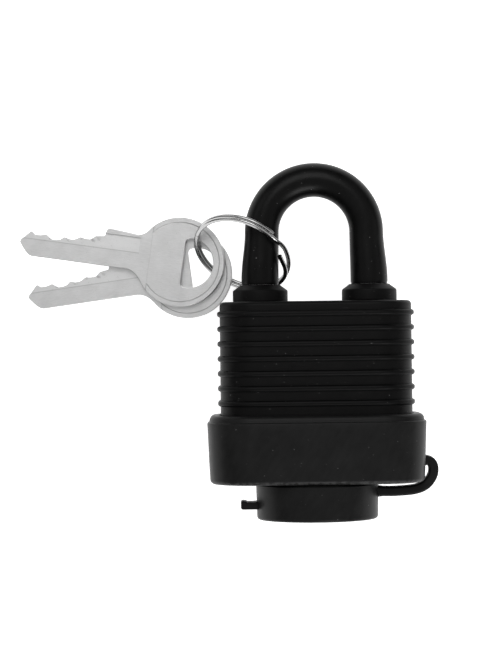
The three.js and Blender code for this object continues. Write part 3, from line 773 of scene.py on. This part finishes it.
# --- Split ring --------------------------------------------------------------------------------
# Two turns of flat spring wire lie side by side, and the wire crosses over between its two cut
# ends. The upper end stands a little off. It is polished nickel plate, rubbed by the keys.
RING_MID = 10.97 * MM
RING_CENTRE = Vector((-16.25, 44.39, 10.9)) * MM
RING_ALONG = Vector((0.8996, -0.4368, 0)).normalized()
RING_RISE = Vector((0.272, 0.56, 0.783)).normalized()
RING_AXIS = RING_ALONG.cross(RING_RISE).normalized()
WIRE_HALF_WIDE = 0.5 * MM
WIRE_HALF_HIGH = 0.385 * MM
WIRE_SHIFT = 0.46 * MM
RING_JOG = math.radians(52)
RING_END = math.radians(14)
RING_SLOPE = math.radians(12)
RING_FIRST = RING_JOG + RING_END
RING_LAST = RING_JOG - RING_END + 4 * math.pi
RING_CROSSING = RING_JOG + 2 * math.pi
RING_SPRUNG = 3.2 * RING_END
SPRUNG_IN = 0.9 * MM
SPRUNG_UP = 0.8 * MM

ring_steps = 300
ring_line = []
for i in range(ring_steps + 1):
    turn = RING_FIRST + (RING_LAST - RING_FIRST) * i / ring_steps
    side = 2 * ease(turn, RING_CROSSING - RING_SLOPE, RING_CROSSING + RING_SLOPE) - 1
    sprung = ease(turn, RING_LAST - RING_SPRUNG, RING_LAST)
    flat = RING_ALONG * math.cos(turn) + RING_RISE * math.sin(turn)
    outward = flat * (RING_MID - SPRUNG_IN * sprung)
    sideways = RING_AXIS * (side * WIRE_SHIFT + SPRUNG_UP * sprung)
    ring_line.append(RING_CENTRE + outward + sideways)

wire_ring = rounded_ring(WIRE_HALF_WIDE, WIRE_HALF_HIGH, 0.3 * MM, 0, 0, 7)
wire_section = [(p.x, p.z) for p in wire_ring]
bright_nickel = metal("bright_nickel", 0.4, 0.18, (9, 1, 1))
ring_rings = sweep_rings(ring_line, lambda i, point: wire_section, RING_AXIS)
split_ring = piece_from_rings("key_ring", ring_rings, bright_nickel)
mount(split_ring, "split_ring", "chrome", "split_ring")

# --- Keys --------------------------------------------------------------------------------------
# Two identical keys are stamped from nickel-plated brass strip: a round head with a raised rim
# and a D-shaped hole, a milled groove along each face of the blade, and cuts along one edge.
# A key is drawn in millimetres in its own plane: u runs to the tip and v across the blade.
KEY_TILT = math.radians(4.6)
KEY_THICK = 1.8
KEY_STACK = 1.98
TIP_X = -65.4
TIP_RISE = 0.12
KEY_HEAD = 10.2
KEY_LOW = -3.15
HOLE_RADIUS = 5.6
HOLE_U = -2.1
HOLE_CHORD = -0.7
HEAD_FOOT = (8.2, -6.07)
HEAD_SHOULDER = (8.06, 6.25)
BLADE_SHOULDER = (10.4, 4.96)


def bow_arc(centre_u, radius, start, end, steps):
    """Points round part of a circle in a key's own plane."""
    angles = [start + (end - start) * i / steps for i in range(steps + 1)]
    return [(centre_u + radius * math.cos(a), radius * math.sin(a)) for a in angles]


def quarter_bend(start, control, end, steps=6):
    """Points along a bend that leaves start toward its control point and ends at end."""
    points = []
    for i in range(1, steps + 1):
        t = i / steps
        pair = zip(start, control, end)
        points.append(tuple((1 - t) ** 2 * a + 2 * t * (1 - t) * b + t * t * c for a, b, c in pair))
    return points


key_edge = [(34.3, KEY_LOW), (34.92, -2.9), (35.75, -2.2), (37.09, -0.55), (37.3, -0.15)]
key_edge += [(37.15, 0.35), (35.23, 2.4), (35.03, 2.5), (34.77, 2.35), (34.3, 1.93), (33.89, 1.86)]
key_edge += [(32.86, 1.88), (32.44, 1.97), (31.72, 2.2), (31.51, 2.22), (31.26, 2.05)]
key_edge += [(30.38, 1.38), (30.07, 1.28), (28.93, 1.29), (28.11, 1.5), (27.38, 2.1)]
key_edge += [(27.18, 2.15), (26.87, 2.08), (26.04, 1.84), (25.01, 1.87), (24.59, 2.05)]
key_edge += [(23.66, 2.6), (23.46, 2.63), (23.15, 2.58), (22.32, 2.43), (21.39, 2.43)]
key_edge += [(21.08, 2.53), (20.15, 3.3), (19.94, 3.38), (18.19, 3.6), (17.98, 3.75)]
key_edge += [(17.67, 4.95), (17.57, 5.15), (17.15, 5.53), (16.95, 5.55), BLADE_SHOULDER]
head_start = math.atan2(HEAD_SHOULDER[1], HEAD_SHOULDER[0]) + 0.05
head_end = 2 * math.pi + math.atan2(HEAD_FOOT[1], HEAD_FOOT[0]) - 0.05
key_outline = [HEAD_FOOT] + quarter_bend(HEAD_FOOT, (10.0, KEY_LOW), (12.4, KEY_LOW), 8)
key_outline += key_edge + quarter_bend(BLADE_SHOULDER, (9.0, 4.95), HEAD_SHOULDER)
key_outline += bow_arc(0, KEY_HEAD, head_start, head_end, 84)
hole_start = math.radians(83)
hole_outline = bow_arc(HOLE_U, HOLE_RADIUS, hole_start, 2 * math.pi - hole_start, 48)
hole_outline += quarter_bend(hole_outline[-1], (HOLE_CHORD, -5.3), (HOLE_CHORD, -4.4))
hole_outline += quarter_bend((HOLE_CHORD, 4.4), (HOLE_CHORD, 5.3), hole_outline[0])[:-1]


def moved_in(outline, inset):
    """A closed outline with every edge moved inward. A negative inset moves it outward."""
    result = []
    for i, (u, v) in enumerate(outline):
        before = Vector(outline[i - 1])
        after = Vector(outline[(i + 1) % len(outline)])
        first = (Vector((u, v)) - before).normalized()
        second = (after - Vector((u, v))).normalized()
        sides = Vector((-first.y - second.y, first.x + second.x))
        shift = inset / max(0.5, 1 + first.dot(second))
        result.append((u + sides.x * shift, v + sides.y * shift))
    return result


def stamped(name, outline, half_thick, edges, finish):
    """A flat plate whose edges are rounded by tumbling. Each edge pair is (inset, height)."""
    levels = [(inset, height - half_thick) for inset, height in edges]
    levels += [(inset, half_thick - height) for inset, height in reversed(edges)]
    rings = []
    for inset, level in levels:
        rings.append([Vector((u, v, level)) for u, v in moved_in(outline, inset)])
    return piece_from_rings(name, rings, finish, crease=18)


def key_matrix(x, y, turn, level):
    """Where a key lies: its own plane rises toward the ring, and the front key lies on the back."""
    normal = Vector((-math.sin(KEY_TILT), 0, math.cos(KEY_TILT)))
    flat = Vector((math.cos(math.radians(turn)), math.sin(math.radians(turn)), 0))
    along = Vector((flat.x, flat.y, flat.x * math.tan(KEY_TILT))).normalized()
    across = along.cross(normal)
    rise = TIP_RISE + (x - TIP_X) * math.tan(KEY_TILT)
    height = (KEY_THICK / 2 + level * KEY_STACK) / math.cos(KEY_TILT)
    matrix = Matrix((along, across, -normal)).transposed().to_4x4()
    matrix.translation = Vector((x, y, rise + height))
    return matrix


def key_finish(name, matrix):
    """Satin nickel over brass: drawn grain along the blade, a raised rim round the head with painted
    shade along its step, a faint line across it, painted shade along the groove edges, tiny pits,
    and duller metal in the cuts."""
    finish = Finish(name, Metallic=1.0)
    local = finish.place((MM, MM, MM), matrix.translation * MM, matrix.to_euler())
    split = finish.tree.nodes.new("ShaderNodeSeparateXYZ")
    finish.put(split.inputs[0], local)
    u = Wire(finish, split.outputs[0])
    v = Wire(finish, split.outputs[1])
    reach = finish.node("ShaderNodeMath", {"operation": "SQRT"}, {0: u * u + v * v})

    def noise(scale, detail, where=local):
        values = {"Vector": where, "Scale": scale, "Detail": detail}
        return finish.node("ShaderNodeTexNoise", None, values)

    inner = 1 - u.step(6.8, 7.2)
    rim = reach.step(8.98, 9.12) * inner
    # Painted shade: a dark line along the step of the head's raised rim.
    rim_step_shade = rim - reach.step(9.12, 9.3) * inner
    fold_line = u.step(6.9, 7.02) - u.step(7.02, 7.15)
    # Painted shade: thin dark lines along both walls of the milled groove, where shade falls at the
    # step.
    low_groove_shade = v.step(0.62, 0.78) - v.step(0.82, 0.95)
    high_groove_shade = v.step(4.15, 4.28) - v.step(4.3, 4.4)
    groove_edge_shade = (low_groove_shade + high_groove_shade) * u.step(9.5, 9.7)
    stretch = {"Vector": local, "Scale": (1.0, 14.0, 14.0)}
    drawn = noise(0.9, 3.0, finish.node("ShaderNodeMapping", {"vector_type": "POINT"}, stretch))
    clouds = noise(0.28, 4.0)
    pits = noise(3.4, 1.0).step(0.68, 0.74)
    stain = v.step(1.6, 3.4) * u.step(17, 20) * clouds.step(0.42, 0.6)
    tone = clouds.step(0.25, 0.75) * 0.4 + drawn.step(0.25, 0.75) * 0.6
    base = finish.tint(tone, grey(0.47), grey(0.58))
    milled = (v.step(0.78, 0.82) - v.step(4.28, 4.32)) * u.step(9.68, 9.72)
    bright = finish.tint(milled * 0.5, base, grey(0.64))
    aged = finish.tint(stain * 0.4, bright, grey(0.4))
    near_cuts = v.step(0.9, 1.5) * u.step(18, 20) * (1 - v.step(2.6, 3.4))
    dark_cuts = noise(0.62, 2.0).step(0.58, 0.66) * near_cuts
    faint_fold = fold_line * clouds.step(0.3, 0.6)
    # The dark marks: real pits, fold line and dull cuts, with painted shade at the rim and groove edges.
    marks = pits * 0.25 + rim_step_shade * 0.5 + faint_fold * 0.25 + groove_edge_shade * 0.45 + dark_cuts * 0.5
    finish.colour(finish.tint(marks, aged, grey(0.2)))
    finish.rough(0.34 + clouds * 0.1 + drawn * 0.1 + pits * 0.1 - 0.08)
    finish.relief(rim * 0.8 + drawn * 0.1 - pits * 0.1 - fold_line * 0.12, 0.12 * MM)
    return finish


def make_key(name, node, body, matrix):
    """Stamps a blank, punches its hole, mills a groove in each face, and lays it in place."""
    finish = key_finish(name + "_nickel", matrix)
    blank = stamped(name, key_outline, KEY_THICK / 2, [(0.13, 0), (0.04, 0.04), (0, 0.13)], finish)
    punch = [(-0.35, -0.2), (-0.13, 0), (-0.04, 0.04), (0, 0.13)]
    cutters = [stamped("hole", hole_outline, KEY_THICK / 2, punch, finish)]
    for low_v, high_v, face, depth in ((0.8, 4.3, -1, 0.5), (-2.3, -0.7, 1, 0.45)):
        near = face * (KEY_THICK / 2 - depth)
        far = face * 2.0
        corners = [(low_v, near), (high_v, near), (high_v, far), (low_v, far)]
        rings = [[Vector((u, v, w)) for v, w in corners] for u in (9.7, 40)]
        cutters.append(piece_from_rings("groove", rings, finish))
    combine(blank, cutters, crease=18)
    blank.data.transform(Matrix.Scale(MM, 4) @ matrix)
    blank.data.update()
    mount(blank, body, "nickel", node)


make_key("key_in_front", "front_key", "front_key", key_matrix(-30.5, 42.7, 171.5, 1))
make_key("key_behind", "back_key", "back_key", key_matrix(-28.8, 40.05, 187.5, 0))
